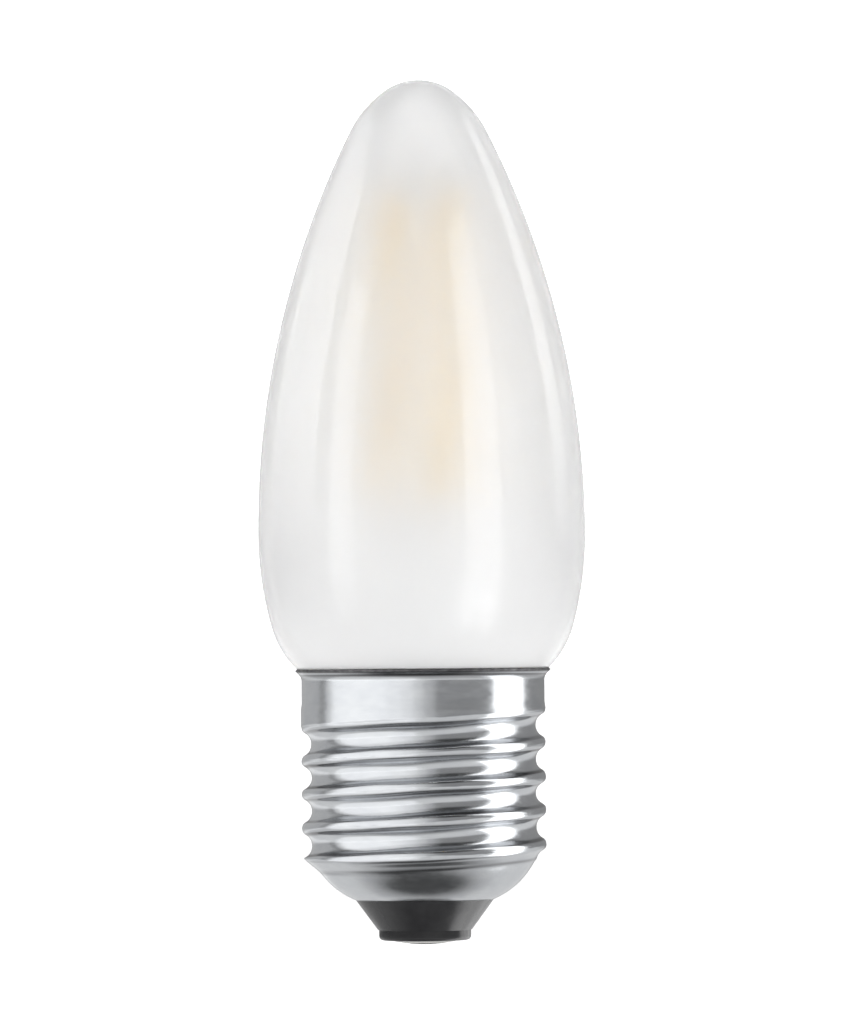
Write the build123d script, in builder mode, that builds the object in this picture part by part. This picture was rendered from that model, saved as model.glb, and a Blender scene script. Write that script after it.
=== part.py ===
from build123d import *
import os
from math import atan2, cos, degrees, radians, sin, sqrt

# Frosted filament candle bulb with an Edison screw cap.
# Millimetres, +Z up. The origin is the lowest point of the centre contact, on the axis of the bulb.

# Centre contact and insulator
contact_radius = 3.8
contact_dome = 0.45
contact_sheet = 0.35
nose_rim = 1.12
nose_round = 0.45
nose_height = 1.1
nose_step = 0.12
insulator_drop = 4.3
insulator_rise = 2.65
flange_edge = 1.0

# Screw shell
sheet = 0.25
hole_radius = 7.4
bowl_radius = 8.5
bowl_height = 3.3
flank_run = 1.75
crest_radius = 13.1
thread_depth = 1.1
thread_pitch = 3.629
thread_turns = 4
thread_lift = 4.04
crest_round = 0.7
crest_trim = 0.02
root_flat_count = 5
crest_flat_count = 2
fade_turn = 150
collar_height = 6.14
collar_step_in = 0.1
lip_flare = 0.5
lip_bend = 1.0

# Glass bulb
bulb_radius = 17.5
glass_wall = 0.8
glass_height = 63.05
belly_height = 14.55
tip_radius = 6.25
tip_turn = 36.5
shoulder_radius = 12.1
neck_bend = 4.0
neck_gap = 0.7
cement_height = 1.6

# Glass stem
flare_wall = 1.0
flare_rise = 5.8
stem_radius = 4.5
stem_rise = 14.5
press_width = 8.6
press_thickness = 3.6
press_round = 1.4
press_height = 6.5
post_radius = 1.0
bead_radius = 1.9
exhaust_radius = 1.6
exhaust_wall = 0.6
exhaust_drop = 1.2
exhaust_gap = 0.6

# Filaments and the wires that carry them
wire_radius = 0.25
lead_gap = 0.35
lead_bend = 1.5
lead_rise = 7.5
filament_count = 4
filament_width = 1.8
filament_thickness = 1.2
filament_round = 0.4
lower_ring = 5.5
upper_ring = 4.0
first_azimuth = 200
filament_twist = 45
tip_room = 11.5
cross_wire_step = 1.2
wire_overhang = 0.7
tab_length = 1.6
tab_width = 0.8
tab_thickness = 0.2

# Driver in the cap
board_height = 7.2
board_thickness = 1.0
board_margin = 0.8
part_gap = 0.8
capacitor_radius = 2.5
capacitor_length = 7.5
choke_radius = 2.2
choke_length = 4.5
choke_waist = 1.5
choke_flange = 0.9
fuse_radius = 0.9
fuse_length = 4.5
rectifier_width, rectifier_depth, rectifier_height = 4.6, 1.5, 3.9
chip_width, chip_depth, chip_height = 4.9, 1.5, 3.8
resistor_width, resistor_depth, resistor_height = 2.0, 0.6, 1.3
live_wire_radius = 0.4
neutral_reach = 2.4
neutral_drop = 1.5

# Room left between pieces that seat on each other
fit_gap = 0.02
weld_gap = 0.06

# Levels, from the contact upwards
contact_top = contact_dome + contact_sheet
nose_top = contact_dome + nose_height
hole_z = contact_dome + insulator_drop
insulator_top = hole_z + insulator_rise
groove_z = hole_z + thread_lift
groove_end_z = groove_z + thread_turns * thread_pitch
collar_z = groove_end_z + thread_pitch / 2 + crest_round
lip_z = groove_end_z + collar_height
belly_z = lip_z + belly_height
tip_z = lip_z + glass_height
board_top = insulator_top + board_height
exhaust_z = board_top + exhaust_gap
neck_z = exhaust_z + exhaust_drop + flare_wall
press_z = neck_z + stem_rise
press_top = press_z + press_height
lower_z = press_top + lead_rise
upper_z = tip_z - tip_room
bead_z = upper_z + cross_wire_step / 2

# Radii, from the thread inwards and outwards
root_radius = crest_radius - thread_depth
bore_radius = root_radius - sheet
collar_radius = crest_radius - collar_step_in
collar_inside = collar_radius - sheet
lip_radius = collar_radius + lip_flare
neck_radius = bore_radius - neck_gap
wire_reach = bore_radius - neck_gap / 2
nose_radius = contact_radius + nose_rim
lead_x = exhaust_radius + lead_gap + wire_radius
wire_hole_radius = wire_radius + fit_gap

HALF_ROOT = sqrt(0.5)


def save(piece, name):
    """Label a finished piece and write it to its own file."""
    piece.part.label = name
    export_step(piece.part, f"parts/{name}.step")


def turned(angle):
    """Unit vector in a half section, turned from straight up towards the outside."""
    return Vector(sin(radians(angle)), cos(radians(angle)))


def steps(start, end, count):
    """Angles in radians from one end of a turn to the other, in equal steps."""
    return [radians(start + (end - start) * step / count) for step in range(count + 1)]


def ring_point(radius, azimuth, height):
    """Point on a level ring around the axis."""
    return Vector(radius * cos(radians(azimuth)), radius * sin(radians(azimuth)), height)


os.makedirs("parts", exist_ok=True)

# Centre contact: a low pressed dome with a flat rim that sits in the insulator
dome_radius = (contact_radius**2 + contact_dome**2) / (2 * contact_dome)
with BuildPart() as centre_contact:
    with BuildSketch(Plane.XZ):
        with BuildLine():
            dome = RadiusArc((0, 0), (contact_radius, contact_dome), -dome_radius)
            Polyline(dome @ 1, (contact_radius, contact_top), (0, contact_top), dome @ 0)
        make_face()
    revolve(axis=Axis.Z)
save(centre_contact, "centre_contact")

# Bowl of the shell: one arc from the hole to the foot of the lowest thread flank
bowl_start = Vector(hole_radius, hole_z)
bowl_foot = Vector(crest_radius - flank_run, hole_z + bowl_height)
bowl_chord = bowl_foot - bowl_start
bowl_side = Vector(-bowl_chord.Y, bowl_chord.X).normalized()
bowl_depth = sqrt(bowl_radius**2 - (bowl_chord.length / 2) ** 2)
bowl_centre = (bowl_start + bowl_foot) * 0.5 + bowl_side * bowl_depth
bowl_foot_inside = bowl_centre + (bowl_foot - bowl_centre) * ((bowl_radius - sheet) / bowl_radius)


def bowl_at_radius(radius, inset):
    """Point of the arc inset from the bowl, at a distance from the axis."""
    return Vector(radius, bowl_centre.Y - sqrt((bowl_radius - inset) ** 2 - (radius - bowl_centre.X) ** 2))


def bowl_at_height(height, inset):
    """Point of the arc inset from the bowl, at a height."""
    return Vector(bowl_centre.X + sqrt((bowl_radius - inset) ** 2 - (bowl_centre.Y - height) ** 2), height)


# Insulator: a moulded cone under the cap, with a flange that lies on the inside of the bowl
flange_inset = sheet + fit_gap
flange_start = bowl_at_radius(hole_radius - fit_gap, flange_inset)
flange_end = bowl_at_height(insulator_top - flange_edge, flange_inset)
wire_hole = live_wire_radius + fit_gap
with BuildPart() as insulator:
    with BuildSketch(Plane.XZ):
        with BuildLine():
            nose = Line((contact_radius, contact_dome), (nose_radius - nose_round, contact_dome))
            corner = RadiusArc(nose @ 1, (nose_radius, contact_dome + nose_round), -nose_round)
            Polyline(
                corner @ 1,
                (nose_radius, nose_top),
                (nose_radius + nose_step, nose_top),
                (flange_start.X, hole_z),
                flange_start,
                flange_end,
                (flange_end.X, insulator_top),
                (wire_hole, insulator_top),
                (wire_hole, contact_top),
                (contact_radius, contact_top),
                nose @ 0,
            )
        make_face()
    revolve(axis=Axis.Z)
save(insulator, "insulator")

# Thread section: a round root between two half crests, each drawn with a few flats to keep the helix light
half_pitch = thread_pitch / 2
crest_centre = crest_radius + crest_trim - crest_round
root_reach = root_radius - crest_centre
root_round = (root_reach**2 + half_pitch**2 - crest_round**2) / (2 * (crest_round - root_reach))
root_centre = root_radius + root_round
flank_angle = degrees(atan2(half_pitch, root_centre - crest_centre))
crest_reach = crest_round - crest_trim / 2
crest_angle = degrees(atan2(sqrt(crest_round**2 - crest_reach**2), crest_reach))
cutter_radius = crest_radius + crest_round


def groove_section(height):
    """Face that cuts one groove of the thread, on the +X side, with its root at the given height."""
    root = [
        Vector(root_centre - root_round * cos(turn), root_round * sin(turn))
        for turn in steps(-flank_angle, flank_angle, root_flat_count)
    ]
    crest = [
        Vector(crest_centre + crest_round * cos(turn), half_pitch - crest_round * sin(turn))
        for turn in steps(flank_angle, crest_angle, crest_flat_count)
    ]
    upper = [*crest[1:], Vector(cutter_radius, crest[-1].Y)]
    lower = [Vector(point.X, -point.Y) for point in reversed(upper)]
    with BuildSketch(Plane((0, 0, height), x_dir=(1, 0, 0), z_dir=(0, -1, 0))) as groove:
        with BuildLine():
            Polyline(*root, *upper, *lower, close=True)
        make_face()
    return groove.sketch


# Lip of the shell: a bend out of the collar into a 45 degree seat for the glass
lip_bend_centre = Vector(
    collar_radius + lip_bend,
    lip_z - lip_flare + lip_bend - (lip_bend + sheet) / HALF_ROOT,
)


def lip_bend_end(radius):
    """Where an arc of the given radius about the lip's centre runs into the 45 degree seat."""
    return lip_bend_centre + Vector(-radius, radius) * HALF_ROOT


# Screw shell: a drawn cup with a bowl below and a lip above, and a right-hand thread rolled into it
start_z = groove_z - thread_pitch
fade_height = thread_pitch * fade_turn / 360
fade_angle = degrees(atan2(thread_depth + crest_round, fade_height))
with BuildPart() as screw_shell:
    with BuildSketch(Plane.XZ):
        with BuildLine():
            bowl = RadiusArc(bowl_start, bowl_foot, -bowl_radius)
            wall = Polyline(
                bowl @ 1,
                (crest_radius, bowl_foot.Y + flank_run),
                (crest_radius, collar_z - crest_round),
                (collar_radius, collar_z),
                (collar_radius, lip_bend_centre.Y),
            )
            bend = RadiusArc(wall @ 1, lip_bend_end(lip_bend), lip_bend)
            Polyline(
                bend @ 1,
                Vector(lip_radius, lip_z) + Vector(sheet, -sheet) * HALF_ROOT,
                (lip_radius, lip_z),
                (0, lip_z),
                (0, hole_z),
                bowl @ 0,
            )
        make_face()
    revolve(axis=Axis.Z)
    with BuildLine(Plane.XY.offset(start_z)) as groove_path:
        Helix(thread_pitch, groove_end_z - start_z, root_radius)
    sweep(sections=groove_section(start_z), path=groove_path.line, is_frenet=True, mode=Mode.SUBTRACT)
    with BuildLine(Plane.XY.offset(groove_end_z)) as fade_path:
        Helix(thread_pitch, fade_height, root_radius, cone_angle=fade_angle)
    sweep(sections=groove_section(groove_end_z), path=fade_path.line, is_frenet=True, mode=Mode.SUBTRACT)
    with BuildSketch(Plane.XZ):
        with BuildLine():
            bowl = RadiusArc(bowl_at_radius(hole_radius, sheet), bowl_foot_inside, -(bowl_radius - sheet))
            bore = Polyline(
                bowl @ 1,
                (bore_radius, bowl_foot_inside.Y + bore_radius - bowl_foot_inside.X),
                (bore_radius, collar_z - collar_inside + bore_radius),
                (collar_inside, collar_z),
                (collar_inside, lip_bend_centre.Y),
            )
            bend = RadiusArc(bore @ 1, lip_bend_end(lip_bend + sheet), lip_bend + sheet)
            Polyline(
                bend @ 1,
                (lip_radius, lip_z),
                (lip_radius, lip_z + sheet),
                (0, lip_z + sheet),
                (0, hole_z - sheet),
                (hole_radius, hole_z - sheet),
                bowl @ 0,
            )
        make_face()
    revolve(axis=Axis.Z, mode=Mode.SUBTRACT)
save(screw_shell, "screw_shell")

# Outline of the glass above the belly: tip, shoulder and flank, three arcs without a corner between them
tip_centre = Vector(0, tip_z - tip_radius)
shoulder_centre = tip_centre + turned(tip_turn) * (tip_radius - shoulder_radius)
flank_in = bulb_radius - shoulder_centre.X
flank_up = shoulder_centre.Y - belly_z
flank_radius = (flank_in**2 + flank_up**2 - shoulder_radius**2) / (2 * (flank_in - shoulder_radius))
flank_centre = Vector(bulb_radius - flank_radius, belly_z)
shoulder_turn = degrees(atan2(shoulder_centre.X - flank_centre.X, flank_up))

# Below the belly: the hip turns into the direction of the seat, and the heel on to the 45 degrees of the lip
seat = Vector(lip_radius, lip_z + fit_gap)
seat_in = bulb_radius - seat.X
seat_down = belly_z - seat.Y
hip_turn = degrees(atan2(seat_in, seat_down))
hip_in, hip_down = 1 - turned(hip_turn).Y, turned(hip_turn).X
heel_in, heel_down = turned(hip_turn).Y - HALF_ROOT, HALF_ROOT - turned(hip_turn).X
hip_share = hip_in * heel_down - heel_in * hip_down
hip_radius = (seat_in * heel_down - heel_in * seat_down) / hip_share
heel_radius = (hip_in * seat_down - hip_down * seat_in) / hip_share
hip_centre = Vector(bulb_radius - hip_radius, belly_z)
heel_centre = hip_centre + turned(90 + hip_turn) * (hip_radius - heel_radius)
neck_bend_centre = Vector(
    neck_radius + neck_bend,
    neck_radius + neck_bend - neck_bend / HALF_ROOT - seat.X + seat.Y,
)
glass_arcs = [
    (tip_centre, tip_radius, 0, tip_turn),
    (shoulder_centre, shoulder_radius, tip_turn, shoulder_turn),
    (flank_centre, flank_radius, shoulder_turn, 90),
    (hip_centre, hip_radius, 90, 90 + hip_turn),
    (heel_centre, heel_radius, 90 + hip_turn, 135),
]


def glass_outline(inset, bottom):
    """Half section of the bulb, inset by a wall, closed along the axis and cut level at the bottom."""
    with BuildSketch() as outline:
        with BuildLine():
            for centre, radius, start, end in glass_arcs:
                side = CenterArc(centre, radius - inset, 90 - start, start - end)
            bend = CenterArc(neck_bend_centre, neck_bend + inset, 135, 45)
            Line(side @ 1, bend @ 0)
            Polyline(bend @ 1, (neck_radius - inset, bottom), (0, bottom), (0, tip_z - inset))
        make_face()
    return outline.sketch


# Glass bulb: blown in one piece with the neck that stands in the cap
with BuildPart() as glass_bulb:
    with BuildSketch(Plane.XZ):
        add(glass_outline(0, neck_z))
        add(glass_outline(glass_wall, neck_z - glass_wall), mode=Mode.SUBTRACT)
    revolve(axis=Axis.Z)
save(glass_bulb, "glass_bulb")

# Cement: a ring that bonds the neck into the collar
cement_z = collar_z + fit_gap
with BuildPart() as cement_ring:
    with BuildSketch(Plane.XZ):
        with Locations((collar_inside, cement_z)):
            Rectangle(collar_inside, cement_height, align=(Align.MAX, Align.MIN))
        add(glass_outline(0, neck_z), mode=Mode.SUBTRACT)
    revolve(axis=Axis.Z)
save(cement_ring, "cement_ring")

# Glass stem: flared foot under the neck, tube, pressed seal, post with a bead, and the sealed exhaust tube
stem_inside = stem_radius - flare_wall
flare_radius = neck_radius - glass_wall
flare_slope = flare_rise / (flare_radius - stem_radius)
exhaust_inside = exhaust_radius - exhaust_wall
exhaust_inner_z = exhaust_z + exhaust_wall / HALF_ROOT
lower_points = [
    ring_point(lower_ring, first_azimuth + number * 360 / filament_count, lower_z)
    for number in range(filament_count)
]
upper_points = [
    ring_point(
        upper_ring,
        first_azimuth + filament_twist + number * 360 / filament_count,
        upper_z + (number % 2) * cross_wire_step,
    )
    for number in range(filament_count)
]
cross_wires = {
    "upper_cross_wire_1": (upper_points[0], upper_points[2]),
    "upper_cross_wire_2": (upper_points[1], upper_points[3]),
    "lower_cross_wire_left": (lower_points[0], lower_points[1]),
    "lower_cross_wire_right": (lower_points[2], lower_points[3]),
}
with BuildPart() as glass_stem:
    with BuildSketch(Plane.XZ):
        with BuildLine():
            Polyline(
                (flare_radius, neck_z - flare_wall),
                (neck_radius, neck_z - flare_wall),
                (neck_radius, neck_z - fit_gap),
                (flare_radius, neck_z - fit_gap),
                (stem_radius, neck_z - fit_gap + flare_rise),
                (stem_radius, press_z),
                (0, press_z),
                (0, press_z - flare_wall),
                (stem_inside, press_z - flare_wall),
                (stem_inside, neck_z - flare_wall + flare_slope * (flare_radius - stem_inside)),
                close=True,
            )
        make_face()
        with BuildLine():
            Polyline(
                (0, exhaust_z),
                (exhaust_radius, exhaust_z + exhaust_radius),
                (exhaust_radius, press_z),
                (exhaust_inside, press_z),
                (exhaust_inside, exhaust_inner_z + exhaust_inside),
                (0, exhaust_inner_z),
                close=True,
            )
        make_face()
    revolve(axis=Axis.Z)
    with BuildSketch(Plane.XY.offset(press_z)):
        RectangleRounded(press_width, press_thickness, press_round)
    extrude(amount=press_height)
    with BuildSketch(Plane.XY.offset(press_top)):
        Circle(post_radius)
    extrude(amount=bead_z - press_top)
    with Locations((0, 0, bead_z)):
        Sphere(bead_radius)
    with BuildSketch(Plane.XY.offset(press_z - flare_wall)):
        with Locations((-lead_x, 0), (lead_x, 0)):
            Circle(wire_hole_radius)
    extrude(amount=press_height + flare_wall, mode=Mode.SUBTRACT)
    for name in ("upper_cross_wire_1", "upper_cross_wire_2"):
        start, end = cross_wires[name]
        with BuildSketch(Plane(origin=start, z_dir=end - start)):
            Circle(wire_hole_radius)
        extrude(amount=(end - start).length, mode=Mode.SUBTRACT)
save(glass_stem, "glass_stem")

# Cross wires: the upper two pass through the bead, the lower two join the feet of neighbouring filaments
for name, (start, end) in cross_wires.items():
    along = (end - start).normalized()
    with BuildPart() as cross_wire:
        with BuildSketch(Plane(origin=start - along * wire_overhang, z_dir=along)):
            Circle(wire_radius)
        extrude(amount=(end - start).length + 2 * wire_overhang)
    save(cross_wire, name)

# Filaments: phosphor-coated strips between the cross wires, with a metal tab at each end
tab_start = wire_radius + weld_gap
strip_start = tab_start + tab_length
for number, (lower, upper) in enumerate(zip(lower_points, upper_points), start=1):
    along = (upper - lower).normalized()
    across = along.cross(Vector(lower.X, lower.Y, 0)).normalized()
    strip_length = (upper - lower).length - 2 * strip_start
    with BuildPart() as filament:
        with BuildSketch(Plane(origin=lower + along * strip_start, x_dir=across, z_dir=along)):
            RectangleRounded(filament_width, filament_thickness, filament_round)
        extrude(amount=strip_length)
    save(filament, f"filament_{number}")
    for end, tab_place in (("lower", tab_start), ("upper", strip_start + strip_length)):
        with BuildPart() as tab:
            with BuildSketch(Plane(origin=lower + along * tab_place, x_dir=across, z_dir=along)):
                Rectangle(tab_width, tab_thickness)
            extrude(amount=tab_length)
        save(tab, f"filament_{number}_{end}_tab")

# Driver board: stands on the insulator across the cap
board_width = 2 * (wire_reach - neutral_reach)
board_face = board_thickness / 2
board_middle = (insulator_top + board_top) / 2
with BuildPart() as driver_board:
    with BuildSketch(Plane.XY.offset(insulator_top)):
        Rectangle(board_width, board_thickness)
    extrude(amount=board_height)
save(driver_board, "driver_board")

# Leads: from the board's upper edge through the press to the middle of each lower cross wire
for end, lead_side in (("left", -lead_x), ("right", lead_x)):
    first, second = cross_wires[f"lower_cross_wire_{end}"]
    middle = (first + second) * 0.5
    bend_point = Vector(lead_side, 0, press_top + lead_bend)
    weld_point = middle - (middle - bend_point).normalized() * (2 * wire_radius + weld_gap)
    with BuildPart() as lead_wire:
        with BuildLine() as route:
            FilletPolyline((lead_side, 0, board_top), bend_point, weld_point, radius=lead_bend)
        with BuildSketch(Plane((lead_side, 0, board_top))):
            Circle(wire_radius)
        sweep(path=route.line)
    save(lead_wire, f"lead_wire_{end}")

# Supply wires: the live one stands on the contact, the neutral one runs up beside the neck to the collar
with BuildPart() as live_wire:
    with BuildSketch(Plane.XY.offset(contact_top)):
        Circle(live_wire_radius)
    extrude(amount=insulator_top - contact_top)
save(live_wire, "live_wire")

neutral_start = Vector(board_width / 2, 0, board_top - neutral_drop)
with BuildPart() as neutral_wire:
    with BuildLine() as route:
        Polyline(neutral_start, (wire_reach, 0, neutral_start.Z), (wire_reach, 0, collar_z))
    with BuildSketch(Plane(origin=neutral_start, z_dir=(1, 0, 0))):
        Circle(wire_radius)
    sweep(path=route.line, transition=Transition.RIGHT)
save(neutral_wire, "neutral_wire")

# Parts on the front of the board: smoothing capacitor and choke
front = -board_face - fit_gap
capacitor_x = -board_width / 2 + board_margin
with BuildPart() as smoothing_capacitor:
    with BuildSketch(Plane((capacitor_x, front - capacitor_radius, board_middle), z_dir=(1, 0, 0))):
        Circle(capacitor_radius)
    extrude(amount=capacitor_length)
save(smoothing_capacitor, "smoothing_capacitor")

choke_x = board_width / 2 - 2 * board_margin - choke_radius
with BuildPart() as choke:
    for offset_out, radius, length in (
        (0, choke_radius, choke_flange),
        (choke_flange, choke_waist, choke_length - 2 * choke_flange),
        (choke_length - choke_flange, choke_radius, choke_flange),
    ):
        with BuildSketch(Plane((choke_x, front - offset_out, board_middle), z_dir=(0, -1, 0))):
            Circle(radius)
        extrude(amount=length)
save(choke, "choke")

# Parts on the back of the board: rectifier, driver chip and two chip resistors, with the fuse resistor below
back = board_face + fit_gap
rectifier_x = -board_width / 2 + board_margin + rectifier_width / 2
chip_x = rectifier_x + rectifier_width / 2 + part_gap + chip_width / 2
row_x = chip_x + chip_width / 2 + part_gap
resistor_z = board_top - board_margin - resistor_height / 2
block_parts = {
    "rectifier": (rectifier_x, board_middle, rectifier_width, rectifier_depth, rectifier_height),
    "driver_chip": (chip_x, board_middle, chip_width, chip_depth, chip_height),
    "chip_resistor_1": (
        row_x + resistor_width / 2,
        resistor_z,
        resistor_width,
        resistor_depth,
        resistor_height,
    ),
    "chip_resistor_2": (
        row_x + resistor_width * 1.5 + part_gap,
        resistor_z,
        resistor_width,
        resistor_depth,
        resistor_height,
    ),
}
for name, (x, z, width, depth, height) in block_parts.items():
    with BuildPart() as block:
        with BuildSketch(Plane((x, back, z), x_dir=(1, 0, 0), z_dir=(0, 1, 0))):
            Rectangle(width, height)
        extrude(amount=depth)
    save(block, name)

with BuildPart() as fuse_resistor:
    fuse_z = insulator_top + board_margin + fuse_radius
    with BuildSketch(Plane((row_x, back + fuse_radius, fuse_z), z_dir=(1, 0, 0))):
        Circle(fuse_radius)
    extrude(amount=fuse_length)
save(fuse_resistor, "fuse_resistor")
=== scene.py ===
# %% [markdown]
# # A frosted candle bulb
# This lesson dresses a finished construction model of a candle bulb: a blown glass bulb, a rolled
# screw cap, a black insulator with its contact, and the lamp's insides. The model comes in as a
# frame of named nodes in metres, with +Z up and the viewer on the -Y side. Nothing in it is
# moved.

# %% The frame
from math import atan2, cos, degrees, pi, radians, sin, sqrt, tan

import bmesh
import bpy
import numpy as np
from mathutils import Matrix, Vector


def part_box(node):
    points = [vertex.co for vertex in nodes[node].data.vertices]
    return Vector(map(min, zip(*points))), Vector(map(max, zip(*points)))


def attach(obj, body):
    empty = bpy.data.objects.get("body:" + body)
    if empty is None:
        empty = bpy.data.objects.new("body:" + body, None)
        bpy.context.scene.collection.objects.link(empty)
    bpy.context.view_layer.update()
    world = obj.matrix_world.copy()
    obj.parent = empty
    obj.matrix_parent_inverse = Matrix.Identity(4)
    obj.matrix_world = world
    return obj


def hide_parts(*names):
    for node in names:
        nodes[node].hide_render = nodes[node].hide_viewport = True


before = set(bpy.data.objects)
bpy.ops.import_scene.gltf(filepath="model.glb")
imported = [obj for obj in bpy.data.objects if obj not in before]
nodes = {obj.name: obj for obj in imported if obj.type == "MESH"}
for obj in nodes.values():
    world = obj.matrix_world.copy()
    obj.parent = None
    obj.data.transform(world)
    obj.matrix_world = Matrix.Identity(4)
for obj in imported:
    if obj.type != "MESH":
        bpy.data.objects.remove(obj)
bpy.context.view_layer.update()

mm = 0.001

# %% [markdown]
# ## Camera
# The photograph was taken from far away, level with the rim of the cap: the rim is a straight
# line there, and the round edges below it only just bow. A long lens at 0.7 m gives the same flat
# view. The picture's scale sets the lens, and a small roll repeats the lean of the bulb in the
# picture.

# %% Camera
picture_height = 1024
mm_per_pixel = 0.10703
camera_distance = 0.7
camera_height = 29.5 * mm
aim_height = 46.2 * mm
lean = radians(0.5)

camera_data = bpy.data.cameras.new("camera")
camera = bpy.data.objects.new("camera", camera_data)
bpy.context.scene.collection.objects.link(camera)
bpy.context.scene.camera = camera
view_height = picture_height * mm_per_pixel * mm
camera_data.sensor_width = 36
camera_data.lens = camera_data.sensor_width * camera_distance / view_height
camera.location = (0, -camera_distance, camera_height)
look = Vector((0, 0, aim_height)) - camera.location
camera.rotation_mode = "QUATERNION"
roll = Matrix.Rotation(-lean, 4, "Z").to_quaternion()
camera.rotation_quaternion = look.to_track_quat("-Z", "Y") @ roll
camera_data.clip_start = 0.05
camera_data.clip_end = 20
print("lens in mm:", round(camera_data.lens, 1))

# %% [markdown]
# ## Finishes: a few small helpers
# Every finish starts from the Principled shader. What is the same all over a surface is set on
# the shader itself. What varies comes from noise in the object's own space, so it stays on the
# surface from any side: noise lets a colour or a number wander between two values, or raises
# small bumps.

# %% Helpers for finishes
noise_detail = 4
noise_low, noise_high = 0.3, 0.7  # noise runs from 0 to 1 but seldom leaves this span


def finish(name, **sockets):
    """A material with its shader's sockets set; underscores in a socket's name stand for spaces."""
    material = bpy.data.materials.new(name)
    material.use_nodes = True
    shader = material.node_tree.nodes["Principled BSDF"]
    for socket, value in sockets.items():
        shader.inputs[socket.replace("_", " ")].default_value = value
    return material


def plug(material, output, socket):
    """Links an output to one socket of the shader."""
    tree = material.node_tree
    tree.links.new(output, tree.nodes["Principled BSDF"].inputs[socket])


def noise(material, scale, stretch=(1, 1, 1)):
    """Noise in object space; the scale is in waves per millimetre."""
    tree = material.node_tree
    place = tree.nodes.new("ShaderNodeTexCoord")
    mapping = tree.nodes.new("ShaderNodeMapping")
    mapping.inputs["Scale"].default_value = stretch
    texture = tree.nodes.new("ShaderNodeTexNoise")
    texture.inputs["Scale"].default_value = scale / mm
    texture.inputs["Detail"].default_value = noise_detail
    tree.links.new(place.outputs["Object"], mapping.inputs["Vector"])
    tree.links.new(mapping.outputs["Vector"], texture.inputs["Vector"])
    return texture.outputs["Fac"]


def mottle(material, dark, light, scale, stretch=(1, 1, 1)):
    """Lets the colour wander between two tones."""
    tree = material.node_tree
    ramp = tree.nodes.new("ShaderNodeValToRGB")
    stops = zip(ramp.color_ramp.elements, (noise_low, noise_high), (dark, light))
    for stop, position, colour in stops:
        stop.position = position
        stop.color = (*colour, 1)
    tree.links.new(noise(material, scale, stretch), ramp.inputs["Fac"])
    plug(material, ramp.outputs["Color"], "Base Color")


def wander(material, socket, low, high, scale, stretch=(1, 1, 1)):
    """Lets one number of the shader wander between two values."""
    tree = material.node_tree
    spread = tree.nodes.new("ShaderNodeMapRange")
    spread.inputs["From Min"].default_value = noise_low
    spread.inputs["From Max"].default_value = noise_high
    spread.inputs["To Min"].default_value = low
    spread.inputs["To Max"].default_value = high
    tree.links.new(noise(material, scale, stretch), spread.inputs["Value"])
    plug(material, spread.outputs["Result"], socket)


def relief(material, depth, scale):
    """Small bumps of a given depth in millimetres."""
    tree = material.node_tree
    bump = tree.nodes.new("ShaderNodeBump")
    bump.inputs["Strength"].default_value = 1
    bump.inputs["Distance"].default_value = depth * mm
    tree.links.new(noise(material, scale), bump.inputs["Height"])
    plug(material, bump.outputs["Normal"], "Normal")


print("noise seldom leaves", noise_low, "to", noise_high)

# %% [markdown]
# ## Finishes that depend on the place
# Some finishes change with the height on the piece, such as a coating that runs down, or a darker
# foot. A second colour can cover the first by an amount that varies, which here also lays painted
# shade. The last helper puts a finish on nodes of the construction model, whose meshes stay as
# they are.

# %% Helpers for places and second colours
def by_height(material, heights, values):
    """A number that changes from one value to another between two heights in millimetres."""
    tree = material.node_tree
    place = tree.nodes.new("ShaderNodeTexCoord")
    parts = tree.nodes.new("ShaderNodeSeparateXYZ")
    change = tree.nodes.new("ShaderNodeMapRange")
    change.inputs["From Min"].default_value = heights[0] * mm
    change.inputs["From Max"].default_value = heights[1] * mm
    change.inputs["To Min"].default_value = values[0]
    change.inputs["To Max"].default_value = values[1]
    tree.links.new(place.outputs["Object"], parts.inputs["Vector"])
    tree.links.new(parts.outputs["Z"], change.inputs["Value"])
    return change.outputs["Result"]


def cover_colour(material, amount, colour):
    """Covers the colour of a surface with a second colour, by an amount that varies over it."""
    tree = material.node_tree
    base = tree.nodes["Principled BSDF"].inputs["Base Color"]
    mix = tree.nodes.new("ShaderNodeMix")
    mix.data_type = "RGBA"
    mix.inputs["B"].default_value = (*colour, 1)
    tree.links.new(amount, mix.inputs["Factor"])
    tree.links.new(base.links[0].from_socket, mix.inputs["A"])
    tree.links.new(mix.outputs["Result"], base)


def dress(material, *names):
    """Gives CAD nodes a finish."""
    for name in names:
        slots = nodes[name].data.materials
        slots.clear()
        slots.append(material)
    print(material.name, "on", ", ".join(names))


print("nodes to dress:", len(nodes))

# %% [markdown]
# ## Glass bulb
# The bulb is blown and frosted inside, and its outside stays glossy. Its outline is five arcs
# that run into each other without a corner, then the bend into the neck. A turned outline is the
# natural way to make it: the arcs give points, and bmesh spins them into clean rings, so
# reflections run smoothly over the joints between the arcs. The inner wall is the same outline,
# one wall further in.

# %% Turning an outline
weld_gap = 0.001 * mm


def turned(angle):
    """Unit vector in a half section, from straight up towards the outside."""
    return Vector((sin(radians(angle)), cos(radians(angle))))


def arc(centre, radius, start, end, count):
    """Points of an arc in a half section, from one turn to the other."""
    turns = [start + (end - start) * step / count for step in range(count + 1)]
    return [centre + turned(turn) * radius for turn in turns]


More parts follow.
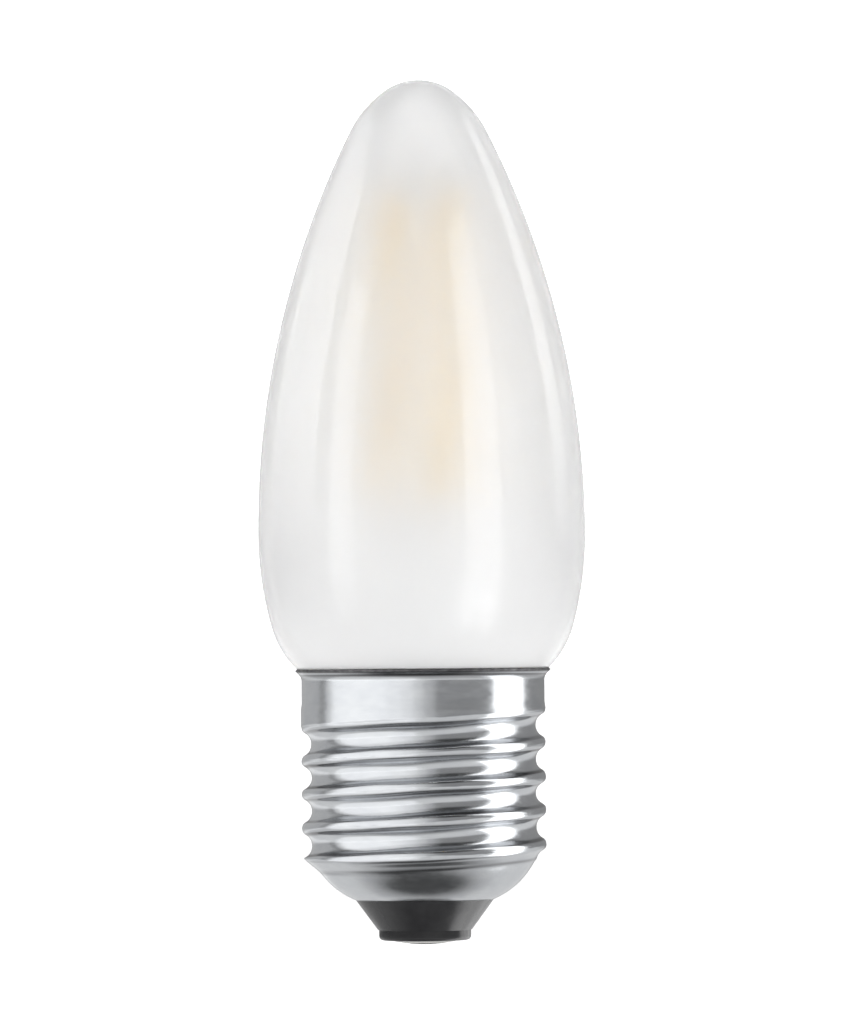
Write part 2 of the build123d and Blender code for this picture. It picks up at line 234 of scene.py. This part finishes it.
def spin(name, outline, columns):
    """A mesh turned from a closed outline of (radius, height) points in millimetres."""
    mesh = bpy.data.meshes.new(name)
    shape = bmesh.new()
    ring = [shape.verts.new((point.x * mm, 0, point.y * mm)) for point in outline]
    edges = [shape.edges.new(pair) for pair in zip(ring, ring[1:] + ring[:1])]
    bmesh.ops.spin(
        shape,
        geom=ring + edges,
        cent=(0, 0, 0),
        axis=(0, 0, 1),
        angle=2 * pi,
        steps=columns,
        use_merge=True,
    )
    bmesh.ops.remove_doubles(shape, verts=shape.verts, dist=weld_gap)
    loose = [edge for edge in shape.edges if not edge.link_faces]
    bmesh.ops.delete(shape, geom=loose, context="EDGES")
    bmesh.ops.recalc_face_normals(shape, faces=shape.faces)
    for face in shape.faces:
        face.smooth = True
    shape.to_mesh(mesh)
    shape.free()
    piece = bpy.data.objects.new(name, mesh)
    bpy.context.scene.collection.objects.link(piece)
    print(name, "has", len(mesh.polygons), "faces")
    return piece


print("points closer than", weld_gap / mm, "mm are welded")

# %% [markdown]
# ## Outline of the glass
# A few sizes are enough: the round of the tip and of the shoulder, the widest place, and the seat
# on the lip. Two arcs meet without a corner if the joint lies on the line through both centres.
# That condition gives the flank above the belly, and the hip and heel below it, where the glass
# meets the lip at 45 degrees.

# %% Glass outline
bulb_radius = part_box("glass_bulb")[1].x / mm
tip_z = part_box("glass_bulb")[1].z / mm
neck_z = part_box("glass_bulb")[0].z / mm
lip_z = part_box("screw_shell")[1].z / mm
glass_wall = 0.8
belly_z = lip_z + 14.55
tip_radius = 6.25
tip_turn = 36.5
shoulder_radius = 12.1
seat = Vector((13.5, lip_z + 0.02))
neck_radius = 11.05
neck_bend = 4.0

tip_centre = Vector((0, tip_z - tip_radius))
shoulder_centre = tip_centre + turned(tip_turn) * (tip_radius - shoulder_radius)
flank_in = bulb_radius - shoulder_centre.x
flank_up = shoulder_centre.y - belly_z
flank_reach = flank_in**2 + flank_up**2 - shoulder_radius**2
flank_radius = flank_reach / (2 * (flank_in - shoulder_radius))
flank_centre = Vector((bulb_radius - flank_radius, belly_z))
shoulder_turn = degrees(atan2(shoulder_centre.x - flank_centre.x, flank_up))

seat_in, seat_down = bulb_radius - seat.x, belly_z - seat.y
hip_turn = degrees(atan2(seat_in, seat_down))
half_root = sqrt(0.5)
hip_in, hip_down = 1 - turned(hip_turn).y, turned(hip_turn).x
heel_in, heel_down = turned(hip_turn).y - half_root, half_root - turned(hip_turn).x
share = hip_in * heel_down - heel_in * hip_down
hip_radius = (seat_in * heel_down - heel_in * seat_down) / share
heel_radius = (hip_in * seat_down - hip_down * seat_in) / share
hip_centre = Vector((bulb_radius - hip_radius, belly_z))
heel_centre = hip_centre + turned(90 + hip_turn) * (hip_radius - heel_radius)
neck_bend_x = neck_radius + neck_bend
neck_bend_centre = Vector((neck_bend_x, neck_bend_x - neck_bend / half_root - seat.x + seat.y))


def glass_side(inset):
    """The outline from the tip to the neck, inset by a wall."""
    points = arc(tip_centre, tip_radius - inset, 0, tip_turn, 10)
    points += arc(shoulder_centre, shoulder_radius - inset, tip_turn, shoulder_turn, 10)[1:]
    points += arc(flank_centre, flank_radius - inset, shoulder_turn, 90, 36)[1:]
    points += arc(hip_centre, hip_radius - inset, 90, 90 + hip_turn, 12)[1:]
    points += arc(heel_centre, heel_radius - inset, 90 + hip_turn, 135, 8)[1:]
    points += arc(neck_bend_centre, neck_bend + inset, -45, -90, 8)
    return points + [Vector((neck_radius - inset, neck_z))]


glass_columns = 144
blown_bulb = spin("blown_bulb", glass_side(0) + glass_side(glass_wall)[::-1], glass_columns)
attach(blown_bulb, "root")
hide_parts("glass_bulb")

# %% [markdown]
# ## Frosted glass
# Frosting scatters the light that passes through the wall, which a rough transmissive shader
# does. The outside of the glass is smooth, so a clear coat lies on top and mirrors sharply. The
# frosting is a coating that runs down towards the neck while it dries, so less light passes
# there: the height on the bulb sets how much.

# %% Frosted glass
run_height = 12
frosted_glass = finish(
    "frosted_glass",
    IOR=1.5,
    Specular_IOR_Level=0.15,
    Coat_Weight=1.0,
    Coat_Roughness=0.01,
)
mottle(frosted_glass, (0.962, 0.964, 0.968), (0.982, 0.984, 0.988), 0.12)
wander(frosted_glass, "Roughness", 0.48, 0.54, 0.5)
clearness = by_height(frosted_glass, (lip_z, lip_z + run_height), (0.55, 0.75))
plug(frosted_glass, clearness, "Transmission Weight")
blown_bulb.data.materials.append(frosted_glass)
print("frosting is denser up to", run_height, "mm above the lip")

# %% [markdown]
# ## Screw shell
# The cap is drawn from thin sheet, and the thread is rolled into it, so it has no sharp edge. The
# CAD solid has the same helix in a few flats. Here the sheet's outside is a fine grid: each grid
# point asks how far it stands from the bottom of the nearest groove, measured along the axis, and
# takes the radius of the groove's round section or of the turned cup, whichever is smaller, with
# a soft change between them. At the foot, the last ridge runs out into the bowl, so the line
# between them climbs with the thread. A solidify modifier gives the sheet its thickness at the
# end. First comes the section of the groove: one arc for its bottom and one for each crest, which
# share a tangent.

# %% Thread section
pitch = 3.629
crest_radius = 13.1
thread_depth = 1.1
crest_round = 0.7
sheet = 0.25
groove_z = 8.79
first_groove_z = groove_z - pitch
last_groove_z = groove_z + 4 * pitch
fade_share = 150 / 360
wave_heights = (0.035, 0.025)
waves_per_turn = (3.3, 7.7)
dent_depth = 0.03
dents_per_turn = 5.6

half_pitch = pitch / 2
crest_centre = crest_radius - crest_round
root_radius = crest_radius - thread_depth
root_reach = root_radius - crest_centre
root_chord = root_reach**2 + half_pitch**2 - crest_round**2
root_round = root_chord / (2 * (crest_round - root_reach))
root_centre = root_radius + root_round
flank_angle = atan2(half_pitch, root_centre - crest_centre)
flank_height = root_round * sin(flank_angle)


def groove_radius(offset):
    """Radius of the groove's section at a distance along the axis from its bottom."""
    away = np.abs(offset)
    bottom = root_centre - np.sqrt(np.maximum(root_round**2 - away**2, 0))
    top = crest_centre + np.sqrt(np.maximum(crest_round**2 - (half_pitch - away) ** 2, 0))
    return np.where(away < flank_height, bottom, top)


def nearest_winding(turn, height):
    """Turns from the groove's start to its nearest pass; turn is the share of a turn from +X."""
    return np.maximum(np.round((height - first_groove_z) / pitch - turn), 0) + turn


def thread_radius(winding, height):
    """Radius of the threaded wall, with the small waves that rolling leaves."""
    angle = 2 * pi * winding
    waves = zip(wave_heights, waves_per_turn)
    wave = sum(tall * np.sin(angle * often) for tall, often in waves)
    offset = height - first_groove_z - winding * pitch - wave
    dent = dent_depth * np.sin(angle * dents_per_turn) * np.cos(pi * offset / half_pitch)
    faded = winding - (last_groove_z - first_groove_z) / pitch
    rise = np.maximum(faded, 0) / fade_share * (thread_depth + crest_round)
    clear_of_cup = crest_radius + 1
    rolled = groove_radius(offset) + rise + dent
    return np.where(np.abs(offset) < half_pitch, rolled, clear_of_cup)


print("round of the root in mm:", round(root_round, 3))

# %% [markdown]
# ## The cup before rolling
# The drawn cup is turned: a round bowl with a hole for the insulator, a wall, a plain collar, and
# a lip that flares out around the glass. It is a list of points from the hole up to the lip, with
# the rows close together where the thread comes. A soft minimum of two radii rounds the corner
# where one takes over from the other, as a roller does.

# %% Cup outline
collar_radius = 13.0
collar_z = 25.82
hole = Vector((7.4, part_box("screw_shell")[0].z / mm))
bowl_radius = 8.5
bowl_foot = Vector((11.35, hole.y + 3.3))
bowl_chord = bowl_foot - hole
bowl_depth = sqrt(bowl_radius**2 - (bowl_chord.length / 2) ** 2)
bowl_inward = Vector((-bowl_chord.y, bowl_chord.x)).normalized()
bowl_centre = (hole + bowl_foot) / 2 + bowl_inward * bowl_depth
bowl_start = degrees(atan2(hole.x - bowl_centre.x, hole.y - bowl_centre.y))
bowl_end = degrees(atan2(bowl_foot.x - bowl_centre.x, bowl_foot.y - bowl_centre.y))
lip_flare = 0.5
lip_bend = 1.0
lip_bend_z = lip_z - lip_flare + lip_bend - (lip_bend + sheet) / half_root
lip_bend_centre = Vector((collar_radius + lip_bend, lip_bend_z))
lip_edge = Vector((collar_radius + lip_flare + sheet * half_root, lip_z - sheet * half_root))


def soft_min(one, other, softness):
    """The smaller of two radii, with a round change from one to the other."""
    return -softness * np.logaddexp(-one / softness, -other / softness)


cup = arc(bowl_centre, bowl_radius, bowl_start, bowl_end, 14)
thread_rows = 205
collar_rows = 4
bowl_rise = 0.62
for height in np.linspace(bowl_foot.y, collar_z, thread_rows + 1)[1:]:
    cup.append(Vector((bowl_foot.x + bowl_rise * (height - bowl_foot.y), height)))
for height in np.linspace(collar_z, lip_bend_z, collar_rows + 1)[1:-1]:
    cup.append(Vector((collar_radius, height)))
cup += arc(lip_bend_centre, lip_bend, -90, -45, 12)
cup += [cup[-1].lerp(lip_edge, 0.3), cup[-1].lerp(lip_edge, 0.6), lip_edge]
print("rows in the shell:", len(cup))

# %% [markdown]
# ## Rolling the thread
# The shell is a grid with a row for each height of the cup and a column for each step of a turn,
# and numpy works out all its radii at once. The side of the last ridge is steeper than the bowl,
# and its foot follows the helix: the foot's height and slope swing once in a turn. Three forms
# are joined softly: the bowl with the ridge's side, the straight wall, and the groove.

# %% Threaded wall
columns = 180
foot_lift = 0.3
foot_swing = (0.6, 0.15)
mean_rise = 1.3
rise_swing = (0.1, -0.35)
ridge_reach = 0.8
ridge_softness, wall_softness, groove_softness = 0.06, 0.15, 0.05

rows = len(cup)
turns = np.arange(columns) / columns
around = 2 * pi * turns
cosine, sine = np.cos(around), np.sin(around)
cup_line = np.array([point.x for point in cup])[:, None]
cup_height = np.array([point.y for point in cup])[:, None]
foot_height = bowl_foot.y + foot_lift + foot_swing[0] * cosine + foot_swing[1] * sine
foot_rise = mean_rise + rise_swing[0] * cosine + rise_swing[1] * sine
above_foot = cup_height - foot_height
foot_radius = np.interp(foot_height, cup_height[:, 0], cup_line[:, 0])
ridge_side = foot_radius + foot_rise * above_foot
with_ridge = -soft_min(-cup_line, -ridge_side, ridge_softness)
cup_radius = np.where(above_foot > -ridge_reach, with_ridge, cup_line)
wall_heights = [collar_z - crest_round, collar_z]
wall_line = np.interp(cup_height, wall_heights, [crest_radius, collar_radius])
walled = soft_min(cup_radius, wall_line, wall_softness)
cup_radius = np.where(cup_height <= collar_z, walled, cup_line)
winding = nearest_winding(turns[None, :], cup_height)
radius = soft_min(cup_radius, thread_radius(winding, cup_height), groove_softness)
print("shell from", round(radius.min(), 2), "to", round(radius.max(), 2), "mm in radius")

# %% [markdown]
# ## Painted shade on the plate
# The plate's colour is darkened as painted shade where shade and dark reflections fall on the
# thread. The slope of the wall finds the steep sides of the thread and, more weakly, the undersides
# of its crests. A line along the foot of the last ridge and a few rings below the lip come on top.
# The sum is one number for each point.

# %% Painted shade
shade_slope, shade_range = 0.9, 0.5
patches_per_turn = 2.6
patch_mean, patch_swing = 0.75, 0.25
underside_slope, underside_range = 0.1, 0.3
crest_zone, crest_range = 12.6, 0.2
underside_share = 0.15
foot_share, foot_line, foot_width = 0.6, 0.1, 0.18
ridge_height = 1.2
# painted shade in a few rings below the lip
below_lip = [0, 0.38, 0.44, 0.54, 0.6, 0.7, 0.8, 1, 1.15]
lip_painted_shade = [0.9, 0.9, 0.2, 0.2, 0.8, 0.75, 0.5, 0.35, 0]

# painted shade: darkens the steep sides of the thread, its crest undersides and the ridge's foot
slope = np.gradient(radius, axis=0) / np.gradient(cup_height, axis=0)
threaded = (above_foot > ridge_height) & (cup_height < collar_z)
patches = patch_mean + patch_swing * np.sin(2 * pi * winding * patches_per_turn)
painted_shade = np.clip((np.abs(slope) - shade_slope) / shade_range, 0, 1) * threaded * patches
underside = np.clip((slope - underside_slope) / underside_range, 0, 1)
underside = underside * np.clip((radius - crest_zone) / crest_range, 0, 1)
painted_shade = np.maximum(painted_shade, underside_share * underside * threaded)
painted_shade += foot_share * np.exp(-((above_foot - foot_line) / foot_width) ** 2)
painted_shade += np.interp(lip_z - cup_height, below_lip, lip_painted_shade)
print("share of dull points:", round(float((painted_shade > 0.5).mean()), 3))

# %% [markdown]
# ## The shell as a mesh
# The grid becomes a mesh of four-sided faces, closed around the axis, and the painted shade goes
# along as an attribute of its points. The last ring of faces is the turned-out edge of the lip,
# which gets the finish of the cut edge, darkened as painted shade.

# %% Rolled shell
corners = np.stack(
    [radius * cosine, radius * sine, np.broadcast_to(cup_height, radius.shape)], axis=-1
).reshape(-1, 3)
faces = []
for row in range(rows - 1):
    below, above = row * columns, (row + 1) * columns
    for column in range(columns):
        after = (column + 1) % columns
        faces.append((below + column, below + after, above + after, above + column))
shell_mesh = bpy.data.meshes.new("rolled_shell")
shell_mesh.from_pydata((corners * mm).tolist(), [], faces)
shell_mesh.shade_smooth()
# the lip's last ring takes the cut edge finish, darkened as painted shade
for face in shell_mesh.polygons[-columns:]:
    face.material_index = 1
# the painted shade is stored on the points as an attribute
shell_mesh.attributes.new("painted_shade", "FLOAT", "POINT").data.foreach_set("value", painted_shade.ravel())
rolled_shell = bpy.data.objects.new("rolled_shell", shell_mesh)
bpy.context.scene.collection.objects.link(rolled_shell)
thickness = rolled_shell.modifiers.new("sheet", "SOLIDIFY")
thickness.thickness = sheet * mm
thickness.offset = -1
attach(rolled_shell, "root")
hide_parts("screw_shell")
print("rolled_shell has", len(shell_mesh.polygons), "faces before its thickness")

# %% [markdown]
# ## Nickel plate
# Nickel plate is a mirror with a little haze, and rolling leaves it slightly uneven. The material
# reads the painted shade of the grid's points as an attribute and turns it into a dark colour over
# the plate. The bare cut edge of the sheet has a finish of its own, dark partly as painted shade of
# the gap under the glass, which the solidify modifier puts on its rim.

# %% Nickel plate
nickel = finish("nickel_plate", Metallic=1.0)
mottle(nickel, (0.685, 0.705, 0.735), (0.755, 0.775, 0.795), 0.35, (1, 1, 2.5))
wander(nickel, "Roughness", 0.16, 0.24, 0.8, (1, 1, 3))
relief(nickel, 0.012, 0.45)
# painted shade: the attribute darkens the plate's colour
painted_shade_node = nickel.node_tree.nodes.new("ShaderNodeAttribute")
painted_shade_node.attribute_name = "painted_shade"
cover_colour(nickel, painted_shade_node.outputs["Fac"], (0.1, 0.1, 0.105))
rolled_shell.data.materials.append(nickel)
# bare cut edge, darkened further as painted shade of the gap under the glass
cut_edge_and_shade = finish("cut_edge_and_shade", Metallic=1.0)
mottle(cut_edge_and_shade, (0.1, 0.1, 0.105), (0.2, 0.2, 0.205), 1.5)
wander(cut_edge_and_shade, "Roughness", 0.4, 0.6, 2)
rolled_shell.data.materials.append(cut_edge_and_shade)
thickness.material_offset_rim = 1
print("finishes of the shell:", [material.name for material in rolled_shell.data.materials])

# %% [markdown]
# ## Insulator and contact
# Both keep their CAD form. Their meshes come in with a seam at every CAD face, so a weld closes
# the seams, and normals weighted by area keep the flat faces flat and the rounds round. The
# contact's colour is darker towards its lowest point, so its second colour goes by height.

# %% Insulator and contact
sharp_angle = radians(35)
dark_tip_heights = (0.12, 0.24)


def soften(name):
    """Closes the seams of a CAD node and smooths its shading where it isn't sharp."""
    piece = nodes[name]
    weld = piece.modifiers.new("weld", "WELD")
    weld.merge_threshold = weld_gap
    split = piece.modifiers.new("edges", "EDGE_SPLIT")
    split.split_angle = sharp_angle
    weighted = piece.modifiers.new("normals", "WEIGHTED_NORMAL")
    weighted.keep_sharp = True


black_glass = finish("black_glass", IOR=1.5, Specular_IOR_Level=0.34)
mottle(black_glass, (0.013, 0.013, 0.014), (0.024, 0.024, 0.025), 0.3)
wander(black_glass, "Roughness", 0.16, 0.26, 0.7)
relief(black_glass, 0.006, 1.2)
contact_metal = finish("contact_metal", Metallic=1.0)
mottle(contact_metal, (0.62, 0.61, 0.58), (0.8, 0.79, 0.76), 0.6)
wander(contact_metal, "Roughness", 0.18, 0.34, 0.9)
relief(contact_metal, 0.01, 0.8)
# the contact's colour is darker towards its lowest point
cover_colour(contact_metal, by_height(contact_metal, dark_tip_heights, (0.95, 0)), (0.03, 0.03, 0.03))
plug(contact_metal, by_height(contact_metal, dark_tip_heights, (0.05, 1)), "Specular Tint")
dress(black_glass, "insulator")
dress(contact_metal, "centre_contact")
soften("insulator")
soften("centre_contact")

# %% [markdown]
# ## Inside the glass
# The light strips are coated with a yellow phosphor and hang between wires on a clear glass stem.
# Through the frosting they are only a warm haze, but they are finished as pieces, because another
# scene may look at them without the glass. Phosphor turns part of any blue light into yellow, so
# it looks brighter than paint: a weak glow stands for that.

# %% Strips, wires and stem
strips = [f"filament_{number}" for number in range(1, 5)]
tabs = [f"{strip}_{end}_tab" for strip in strips for end in ("lower", "upper")]
phosphor = finish(
    "phosphor",
    Roughness=0.6,
    Emission_Color=(1, 0.62, 0.02, 1),
    Emission_Strength=0.25,
)
mottle(phosphor, (0.88, 0.55, 0.03), (0.96, 0.64, 0.07), 1.2)
relief(phosphor, 0.03, 1.6)
tab_metal = finish("tab_metal", Metallic=1.0)
mottle(tab_metal, (0.8, 0.79, 0.76), (0.88, 0.87, 0.85), 2)
wander(tab_metal, "Roughness", 0.4, 0.55, 3)
drawn_wire = finish("drawn_wire", Metallic=1.0)
mottle(drawn_wire, (0.74, 0.73, 0.7), (0.84, 0.83, 0.8), 2, (1, 1, 0.1))
wander(drawn_wire, "Roughness", 0.4, 0.55, 3, (1, 1, 0.1))
clear_glass = finish("clear_glass", Transmission_Weight=1.0, IOR=1.5)
mottle(clear_glass, (0.93, 0.96, 0.96), (0.98, 0.99, 0.99), 0.2)
wander(clear_glass, "Roughness", 0.02, 0.06, 0.4)
dress(phosphor, *strips)
dress(tab_metal, *tabs)
dress(drawn_wire, *[name for name in nodes if "cross_wire" in name or "lead_wire" in name])
dress(clear_glass, "glass_stem")
for name in ("glass_stem", *strips):
    soften(name)

# %% [markdown]
# ## Inside the cap
# The driver stands on the insulator: a small board with its parts, and the wires that bring the
# current from the contact and the shell. A cement ring holds the neck.

# %% Driver, supply wires and cement
cement = finish("cement", Roughness=0.9)
mottle(cement, (0.68, 0.66, 0.61), (0.84, 0.82, 0.77), 1.1)
relief(cement, 0.05, 2.5)
board = finish("board", Coat_Weight=0.3, Coat_Roughness=0.2)
mottle(board, (0.03, 0.17, 0.07), (0.05, 0.24, 0.1), 0.8)
wander(board, "Roughness", 0.35, 0.5, 1.5)
sleeve = finish("sleeve", Coat_Weight=0.2)
mottle(sleeve, (0.018, 0.02, 0.06), (0.028, 0.032, 0.085), 0.7)
wander(sleeve, "Roughness", 0.25, 0.4, 1)
ferrite = finish("ferrite")
mottle(ferrite, (0.03, 0.03, 0.032), (0.07, 0.07, 0.073), 2)
wander(ferrite, "Roughness", 0.55, 0.8, 3)
resin = finish("resin")
mottle(resin, (0.014, 0.014, 0.016), (0.026, 0.026, 0.028), 1.5)
wander(resin, "Roughness", 0.45, 0.65, 4)
film = finish("film", Coat_Weight=0.2)
mottle(film, (0.02, 0.02, 0.02), (0.045, 0.045, 0.045), 2)
wander(film, "Roughness", 0.3, 0.45, 3)
lacquer = finish("lacquer", Coat_Weight=0.4)
mottle(lacquer, (0.09, 0.29, 0.25), (0.13, 0.36, 0.31), 1.2)
wander(lacquer, "Roughness", 0.25, 0.4, 2)
copper = finish("copper", Metallic=1.0)
mottle(copper, (0.62, 0.36, 0.23), (0.76, 0.5, 0.36), 1.5, (1, 1, 0.2))
wander(copper, "Roughness", 0.25, 0.4, 2)
dress(cement, "cement_ring")
dress(board, "driver_board")
dress(sleeve, "smoothing_capacitor")
dress(ferrite, "choke")
dress(resin, "rectifier", "driver_chip")
dress(film, "chip_resistor_1", "chip_resistor_2")
dress(lacquer, "fuse_resistor")
dress(copper, "live_wire", "neutral_wire")
for name in ("cement_ring", "smoothing_capacitor", "choke", "fuse_resistor"):
    soften(name)

# %% [markdown]
# ## Floor and backdrop
# The picture is bright and almost without shadow. A pale round floor bends up into a low wall all
# round, as in a photographer's cove, so the background is plain from every side. It is turned
# like the glass. The bulb hangs a little above it.

# %% Sweep
floor_z = -60
floor_radius = 3000
bend = 400
wall_z = 1000
paper_thickness = 2
sweep_columns = 64
bend_centre = Vector((floor_radius, floor_z + bend))
sweep_line = [Vector((0, floor_z)), *arc(bend_centre, bend, 180, 90, 12)]
sweep_line.append(Vector((floor_radius + bend, wall_z)))
outward = Vector((paper_thickness, -paper_thickness))
paper_back = [point + outward for point in sweep_line[:0:-1]]
paper_back.append(Vector((0, floor_z - paper_thickness)))
sweep = spin("sweep", sweep_line + paper_back, sweep_columns)
paper = finish("paper", Roughness=0.9, Emission_Color=(1, 1, 1, 1), Emission_Strength=0.66)
mottle(paper, (0.9, 0.9, 0.9), (0.92, 0.92, 0.92), 0.002)
sweep.data.materials.append(paper)
sweep.visible_glossy = False
sweep.visible_shadow = False

# %% [markdown]
# ## Panels
# Glossy things are lit by what they mirror. The stripes on the glass were traced back to the
# directions that they mirror: each turns out to be one upright panel. The metal in the picture
# shows other panels than the glass does, so each set of panels shines on its own pieces only,
# which Blender calls light linking. A panel is given by the sides and heights, in degrees,
# between which the bulb sees it, and by the brightness that the bulb sees there. It can fade
# towards its foot or its sides, because the nodes of a light know the place on the panel, from 0
# to 1 each way.

# %% Panels and what they light
panel_distance = 0.9


def fade(light, foot, ends):
    """Dims a panel over the lowest share of its height, and from one side to the other."""
    light.use_nodes = True
    tree = light.node_tree
    place = tree.nodes.new("ShaderNodeNewGeometry")
    parts = tree.nodes.new("ShaderNodeSeparateXYZ")
    upward = tree.nodes.new("ShaderNodeMapRange")
    upward.interpolation_type = "SMOOTHSTEP"
    upward.inputs["From Max"].default_value = foot
    across = tree.nodes.new("ShaderNodeMapRange")
    across.inputs["To Min"].default_value, across.inputs["To Max"].default_value = ends
    both = tree.nodes.new("ShaderNodeMath")
    both.operation = "MULTIPLY"
    tree.links.new(place.outputs["Parametric"], parts.inputs["Vector"])
    tree.links.new(parts.outputs["Y"], upward.inputs["Value"])
    tree.links.new(parts.outputs["X"], across.inputs["Value"])
    tree.links.new(upward.outputs["Result"], both.inputs[0])
    tree.links.new(across.outputs["Result"], both.inputs[1])
    tree.links.new(both.outputs["Value"], tree.nodes["Emission"].inputs["Strength"])


def panel(name, sides, heights, brightness, lit):
    """An upright panel between two azimuths, right of the camera as seen from the bulb."""
    middle, half_width = radians(sum(sides) / 2), radians(sides[1] - sides[0]) / 2
    low, high = (panel_distance * tan(radians(height)) for height in heights)
    light = bpy.data.lights.new(name, "AREA")
    light.shape = "RECTANGLE"
    light.size = 2 * panel_distance * tan(half_width)
    light.size_y = high - low
    light.energy = brightness * pi * light.size * light.size_y
    lamp = bpy.data.objects.new(name, light)
    bpy.context.scene.collection.objects.link(lamp)
    place = Vector((sin(middle), -cos(middle), 0)) * panel_distance
    lamp.location = place + Vector((0, 0, aim_height + (low + high) / 2))
    lamp.rotation_euler = (pi / 2, 0, middle)
    lamp.visible_camera = False
    lamp.light_linking.receiver_collection = lit
    return lamp


def receivers(name, *pieces):
    """A collection of the pieces that a panel lights."""
    lit = bpy.data.collections.new(name)
    for piece in pieces:
        lit.objects.link(piece)
    return lit


print("panels stand", panel_distance, "m from the axis")

# %% [markdown]
# ## Stripes on the glass
# Four stripes run down the glass, and the right one of the middle pair spreads at its foot. Only
# the clear coat mirrors them: their panels take no part in scattered light. They fade at their
# lower end, and the outer ones also towards the rim of the glass, where a coat mirrors more
# strongly. The panel behind the bulb shines through it as well.

# %% Stripes on the glass
glass_lit = receivers("glass_lit", blown_bulb)


def stripe(name, sides, heights, brightness, foot, ends=(1, 1)):
    """A panel that only the coat of the glass mirrors, with a soft foot."""
    lamp = panel(name, sides, heights, brightness, glass_lit)
    lamp.visible_diffuse = False
    lamp.visible_transmission = False
    fade(lamp.data, foot, ends)


stripe("glass_left", (-133, -81), (-8, 42), 1.8, 0.4, (0.7, 1))
stripe("glass_left_front", (-68, -50), (-26, 32), 1.4, 0.3)
stripe("glass_right_front", (31, 58), (-40, 42), 1.5, 0.28)
stripe("glass_right_low", (20, 62), (-46, -18), 0.8, 0.6)
stripe("glass_right", (109, 127), (-6, 44), 1.9, 0.35, (1, 0.75))
glass_back = panel("glass_back", (130, 230), (-40, 60), 0.5, glass_lit)
fade(glass_back.data, 0.4, (1, 1))
print("panels for the glass:", len(bpy.data.lights))

# %% [markdown]
# ## Panels for the metal
# A cylinder of metal shows the room as upright bands. The collar has a broad bright band on the
# left that dims in steps towards the middle, and one narrow white band on the right. The thread
# breaks the same bands into spots. A low dim panel lights the left of the bowl.

# %% Panels for the metal
cap_lit = receivers("cap_lit", rolled_shell, nodes["centre_contact"])
band = (-12, 65)
panel("cap_back_left", (-170, -115), (-20, 30), 0.2, cap_lit)
panel("cap_left_edge", (-104, -96), band, 0.45, cap_lit)
panel("cap_left", (-96, -35), band, 0.88, cap_lit)
panel("cap_front_1", (-35, -20), band, 0.78, cap_lit)
panel("cap_front_2", (-20, -9), band, 0.66, cap_lit)
panel("cap_front_3", (-9, 1), band, 0.44, cap_lit)
panel("cap_front_4", (1, 11), band, 0.22, cap_lit)
panel("cap_low", (-104, -6), (-48, -12), 0.4, cap_lit)
panel("cap_right", (70, 110), (-43, 65), 1.7, cap_lit)
print("panels for the glass and the metal:", len(bpy.data.lights))

# %% [markdown]
# ## Panels for the insulator
# The insulator is a dark cone that looks downwards, so what it mirrors lies low. One band on its
# right side gets dimmer towards the back.

# %% Panels for the insulator
insulator_lit = receivers("insulator_lit", nodes["insulator"])
low_band = (-62, 8)
panel("insulator_right", (98, 125), low_band, 2.5, insulator_lit)
panel("insulator_right_edge", (125, 150), low_band, 1.3, insulator_lit)
panel("insulator_back", (150, 172), low_band, 0.3, insulator_lit)
print("all panels:", len(bpy.data.lights))

# %% [markdown]
# ## Fill
# Frosted glass looks white only if light reaches it from all round. The pale floor gives much of
# that, and large soft lights add the rest, most of it from above. They don't show in reflections,
# so the panels above stay the only stripes.

# %% Fill
fill_distance = 1.5
fill_size = 1.6


def fill(name, direction, brightness):
    """A large soft light in a direction from the bulb, left out of reflections."""
    light = bpy.data.lights.new(name, "AREA")
    light.size = fill_size
    light.energy = brightness * pi * fill_size**2
    lamp = bpy.data.objects.new(name, light)
    bpy.context.scene.collection.objects.link(lamp)
    lamp.location = Vector((0, 0, aim_height)) + Vector(direction) * fill_distance
    lamp.rotation_mode = "QUATERNION"
    lamp.rotation_quaternion = Vector(direction).to_track_quat("Z", "Y")
    lamp.visible_camera = False
    lamp.visible_glossy = False


fill("fill_front", (0.26, -0.966, 0), 0.42)
fill("fill_back", (0, 1, 0), 0.25)
fill("fill_right", (1, 0, 0), 0.2)
fill("fill_top", (0, 0, 1), 2.7)
fill("fill_bottom", (0, 0, -1), 0.15)
print("panels and fill lights:", len(bpy.data.lights))

# %% [markdown]
# ## Surround
# Between the panels the room is dim. The metal mirrors pale floor all round but dark above and
# right below, which draws the dark lines on both sides of each crest and the patch under the
# bowl. The world gives this by the height of the direction that a ray takes, from straight down
# to straight up.

# %% Surround
world = bpy.data.worlds.new("surround")
bpy.context.scene.world = world
world.use_nodes = True
tree = world.node_tree
way = tree.nodes.new("ShaderNodeTexCoord")
parts = tree.nodes.new("ShaderNodeSeparateXYZ")
level = tree.nodes.new("ShaderNodeMapRange")
level.inputs["From Min"].default_value = -1
tones = tree.nodes.new("ShaderNodeValToRGB")
ramp = tones.color_ramp
tone_stops = [  # place from straight down, 0, to straight up, 1, and its tone
    (0.0, 0.065),
    (0.03, 0.075),
    (0.07, 0.4),
    (0.15, 0.68),
    (0.4, 0.7),
    (0.47, 0.27),
    (0.78, 0.27),
    (0.86, 0.05),
]
while len(ramp.elements) < len(tone_stops):
    ramp.elements.new(0.5)
for stop, (position, tone) in zip(ramp.elements, tone_stops):
    stop.position = position
    stop.color = (tone, tone, tone, 1)
tree.links.new(way.outputs["Generated"], parts.inputs["Vector"])
tree.links.new(parts.outputs["Z"], level.inputs["Value"])
tree.links.new(level.outputs["Result"], tones.inputs["Fac"])
tree.links.new(tones.outputs["Color"], tree.nodes["Background"].inputs["Color"])
bpy.context.scene.view_settings.view_transform = "Standard"
print("tones in the surround:", len(tone_stops))
